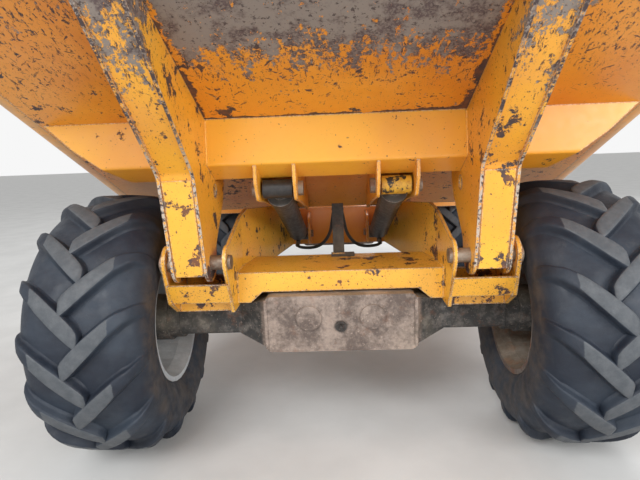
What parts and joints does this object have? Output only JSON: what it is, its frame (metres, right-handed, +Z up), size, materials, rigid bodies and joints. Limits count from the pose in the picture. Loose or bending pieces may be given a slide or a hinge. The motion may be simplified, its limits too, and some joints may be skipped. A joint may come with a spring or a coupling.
{
  "type": "site dumper",
  "caption": "Articulated front-tip site dumper: open sloping skip on pivoted ribs with tipping rams, big lugged tyres, rear engine and driver's seat under a roll-over frame.",
  "frame": {"origin": "on the ground, below the centre of the machine's bounding box, where the tyres stand", "axes": "+Z up, -Y to the front (skip's lip), +X to the machine's left"},
  "size_m": [2.8086, 4.595, 3.139],
  "materials": {
    "yellow_paint": "worn orange-yellow gloss paint",
    "skip_paint": "worn, chipped and rusted orange-yellow paint",
    "rusty_iron": "dirty, rusted cast housing",
    "pin_steel": "dull, rust-stained steel",
    "ram_paint": "dirty black paint",
    "chrome_rod": "polished rod, oily",
    "dark_steel": "dark grey paint, dusty",
    "engine_iron": "grey cast iron",
    "black_plastic": "black, matte",
    "seat_vinyl": "black coated fabric",
    "lamp_red": "red lens",
    "lamp_amber": "amber dome",
    "hose_rubber": "black, dusty",
    "tyre_rubber": "dusty worn rubber",
    "rim_paint": "silver-grey paint, dirty"
  },
  "bodies": {
    "front_chassis": {"front_axle": "rusty_iron", "front_crossmember": "yellow_paint", "front_neck": "yellow_paint", "front_pins": "pin_steel", "front_shaft": "dark_steel", "front_side_plates": "yellow_paint", "hose_left": "hose_rubber", "hose_post": "yellow_paint", "hose_right": "hose_rubber", "skip_brackets": "yellow_paint", "steering_bracket": "yellow_paint"},
    "skip": {"ram_pin_ends": "pin_steel", "ram_webs": "skip_paint", "skip_bottom": "skip_paint", "skip_cross_beam": "skip_paint", "skip_lip": "pin_steel", "skip_rear_wall": "skip_paint", "skip_ribs": "skip_paint", "skip_rim": "skip_paint", "skip_side_left": "skip_paint", "skip_side_right": "skip_paint"},
    "ram_barrel_left": {"ram_barrel_left": "ram_paint"},
    "ram_barrel_right": {"ram_barrel_right": "ram_paint"},
    "ram_rod_left": {"ram_rod_left": "chrome_rod"},
    "ram_rod_right": {"ram_rod_right": "chrome_rod"},
    "centre_pivot": {"pivot_block": "dark_steel"},
    "steering_barrel": {"steering_barrel": "ram_paint"},
    "steering_rod": {"steering_rod": "chrome_rod"},
    "rear_chassis": {"beacon": "lamp_amber", "console": "yellow_paint", "counterweight": "dark_steel", "deck": "dark_steel", "engine": "engine_iron", "engine_panels": "yellow_paint", "exhaust": "dark_steel", "gearbox": "engine_iron", "handrails": "dark_steel", "mudguards": "yellow_paint", "rear_axle": "rusty_iron", "rear_frame": "dark_steel", "rear_lamps": "lamp_red", "rear_panel": "yellow_paint", "rear_shaft": "dark_steel", "roll_over_frame": "dark_steel", "seat": "seat_vinyl", "seat_platform": "yellow_paint", "steering_wheel": "black_plastic", "tank_left": "yellow_paint", "tank_right": "yellow_paint", "tow_jaw": "dark_steel"},
    "bonnet": {"bonnet": "yellow_paint"},
    "wheel_front_left": {"rim_front_left": "rim_paint", "tyre_front_left": "tyre_rubber"},
    "wheel_front_right": {"rim_front_right": "rim_paint", "tyre_front_right": "tyre_rubber"},
    "wheel_rear_left": {"rim_rear_left": "rim_paint", "tyre_rear_left": "tyre_rubber"},
    "wheel_rear_right": {"rim_rear_right": "rim_paint", "tyre_rear_right": "tyre_rubber"}
  },
  "joints": [
    {"name": "skip_tip", "type": "hinge", "parent": "front_chassis", "child": "skip", "pos_m": [0, -1.4395, 0.898], "axis": [1, 0, 0], "range_deg": [0, 70]},
    {"name": "ram_turn_left", "type": "hinge", "parent": "front_chassis", "child": "ram_barrel_left", "pos_m": [0.252, -0.2945, 0.822], "axis": [1, 0, 0], "range_deg": [-1, 8]},
    {"name": "ram_slide_left", "type": "slide", "parent": "ram_barrel_left", "child": "ram_rod_left", "axis": [0, -0.9404, 0.34], "range_m": [-0.002, 0.36]},
    {"name": "ram_turn_right", "type": "hinge", "parent": "front_chassis", "child": "ram_barrel_right", "pos_m": [-0.252, -0.2945, 0.822], "axis": [1, 0, 0], "range_deg": [-1, 8]},
    {"name": "ram_slide_right", "type": "slide", "parent": "ram_barrel_right", "child": "ram_rod_right", "axis": [0, -0.9404, 0.34], "range_m": [-0.002, 0.36]},
    {"name": "centre_steer", "type": "hinge", "parent": "front_chassis", "child": "centre_pivot", "pos_m": [0, 0.0975, 0.86], "axis": [0, 0, 1], "range_deg": [-33, 33]},
    {"name": "centre_roll", "type": "hinge", "parent": "centre_pivot", "child": "rear_chassis", "pos_m": [0, 0.2975, 0.86], "axis": [0, 1, 0], "range_deg": [-12, 12]},
    {"name": "steering_turn", "type": "hinge", "parent": "front_chassis", "child": "steering_barrel", "pos_m": [0.455, -0.5575, 0.86], "axis": [0, 0, 1], "range_deg": [-4, 4]},
    {"name": "steering_slide", "type": "slide", "parent": "steering_barrel", "child": "steering_rod", "axis": [-0.2811, 0.9597, 0], "range_m": [-0.145, 0.145]},
    {"name": "bonnet_lift", "type": "hinge", "parent": "rear_chassis", "child": "bonnet", "pos_m": [0, 1.3525, 1.47], "axis": [1, 0, 0], "range_deg": [0, 60]},
    {"name": "wheel_spin_front_left", "type": "hinge", "parent": "front_chassis", "child": "wheel_front_left", "pos_m": [0.995, -1.1775, 0.585], "axis": [1, 0, 0], "continuous": true},
    {"name": "wheel_spin_front_right", "type": "hinge", "parent": "front_chassis", "child": "wheel_front_right", "pos_m": [-0.995, -1.1775, 0.585], "axis": [1, 0, 0], "continuous": true},
    {"name": "wheel_spin_rear_left", "type": "hinge", "parent": "rear_chassis", "child": "wheel_rear_left", "pos_m": [0.995, 1.3725, 0.585], "axis": [1, 0, 0], "continuous": true},
    {"name": "wheel_spin_rear_right", "type": "hinge", "parent": "rear_chassis", "child": "wheel_rear_right", "pos_m": [-0.995, 1.3725, 0.585], "axis": [1, 0, 0], "continuous": true}
  ],
  "couplings": [
    {"joint": "ram_turn_left", "follows": "skip_tip", "ratio": 0.097156},
    {"joint": "ram_slide_left", "follows": "skip_tip", "m_per_rad": 0.27765},
    {"joint": "ram_turn_right", "follows": "skip_tip", "ratio": 0.097156},
    {"joint": "ram_slide_right", "follows": "skip_tip", "m_per_rad": 0.27765},
    {"joint": "steering_turn", "follows": "centre_steer", "ratio": -0.030106},
    {"joint": "steering_slide", "follows": "centre_steer", "m_per_rad": 0.23795}
  ]
}
